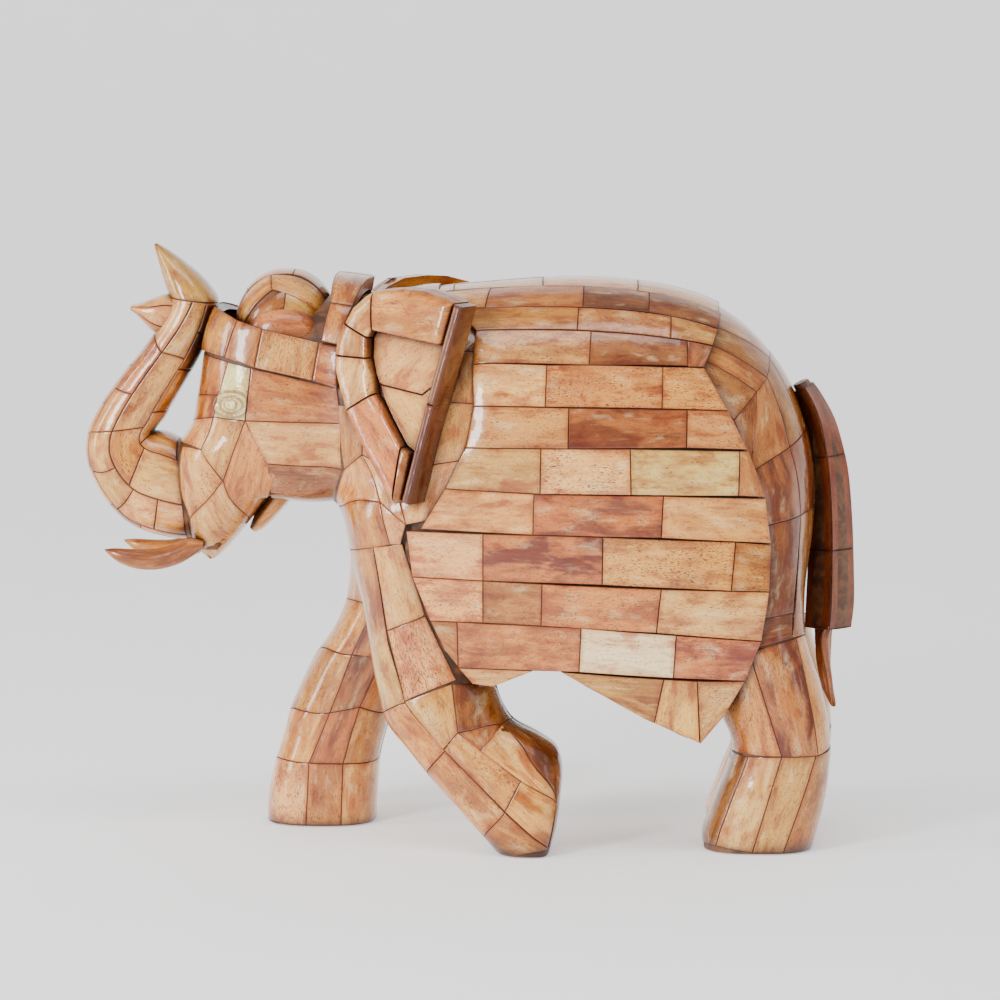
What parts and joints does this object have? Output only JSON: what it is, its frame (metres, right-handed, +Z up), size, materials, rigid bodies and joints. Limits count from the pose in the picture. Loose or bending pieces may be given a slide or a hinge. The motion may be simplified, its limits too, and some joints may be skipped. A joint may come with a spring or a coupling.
{
  "type": "elephant figurine",
  "caption": "Walking elephant statuette with raised trunk, framed ears and a saddle cloth in relief, a carved wooden body covered with glued glossy tiles.",
  "frame": {"origin": "centre of the bounding box at the height of the foot soles", "axes": "+Z up, the elephant faces -X, its left side is -Y; X is the longest extent and Y the shortest"},
  "size_m": [0.231, 0.0964, 0.1773],
  "materials": {
    "carved_wood": "carved hardwood, stained dark, mostly hidden under the tiles",
    "glued_tile": "dyed and varnished natural tiles, cream to amber to rust, high gloss",
    "dark_tile": "dark brown varnished pieces, high gloss"
  },
  "bodies": {
    "root": {"belly_tiles": "glued_tile", "chest_tiles": "glued_tile", "dome_boss_left": "dark_tile", "dome_boss_right": "dark_tile", "ear_core_left": "carved_wood", "ear_core_right": "carved_wood", "ear_edge_bar_left": "dark_tile", "ear_edge_bar_right": "dark_tile", "ear_frame_left": "glued_tile", "ear_frame_right": "glued_tile", "ear_panel_left": "glued_tile", "ear_panel_right": "glued_tile", "forehead_dome_core": "carved_wood", "forehead_dome_tiles": "glued_tile", "front_leg_tiles_left": "glued_tile", "front_leg_tiles_right": "glued_tile", "head_core": "carved_wood", "head_tiles_left": "glued_tile", "head_tiles_right": "glued_tile", "headband_tiles": "glued_tile", "leg_core_front_left": "carved_wood", "leg_core_front_right": "carved_wood", "leg_core_rear_left": "carved_wood", "leg_core_rear_right": "carved_wood", "lower_jaw": "glued_tile", "neck_ring_tiles": "glued_tile", "rear_leg_tiles_left": "glued_tile", "rear_leg_tiles_right": "glued_tile", "rump_centre_tiles": "glued_tile", "rump_tiles_left": "glued_tile", "rump_tiles_right": "glued_tile", "saddle_cloth_backing_left": "carved_wood", "saddle_cloth_backing_right": "carved_wood", "saddle_cloth_tiles_left": "glued_tile", "saddle_cloth_tiles_right": "glued_tile", "shoulder_tiles_left": "glued_tile", "shoulder_tiles_right": "glued_tile", "tail_core": "carved_wood", "tail_tiles": "glued_tile", "tail_tuft": "dark_tile", "torso_core": "carved_wood", "trunk_core": "carved_wood", "trunk_front_tiles": "glued_tile", "trunk_lower_lip_core": "carved_wood", "trunk_lower_lip_tiles": "glued_tile", "trunk_rear_tiles": "glued_tile", "trunk_side_tiles_left": "glued_tile", "trunk_side_tiles_right": "glued_tile", "trunk_upper_lip": "glued_tile", "tusk_left": "dark_tile", "tusk_right": "dark_tile"}
  },
  "joints": []
}
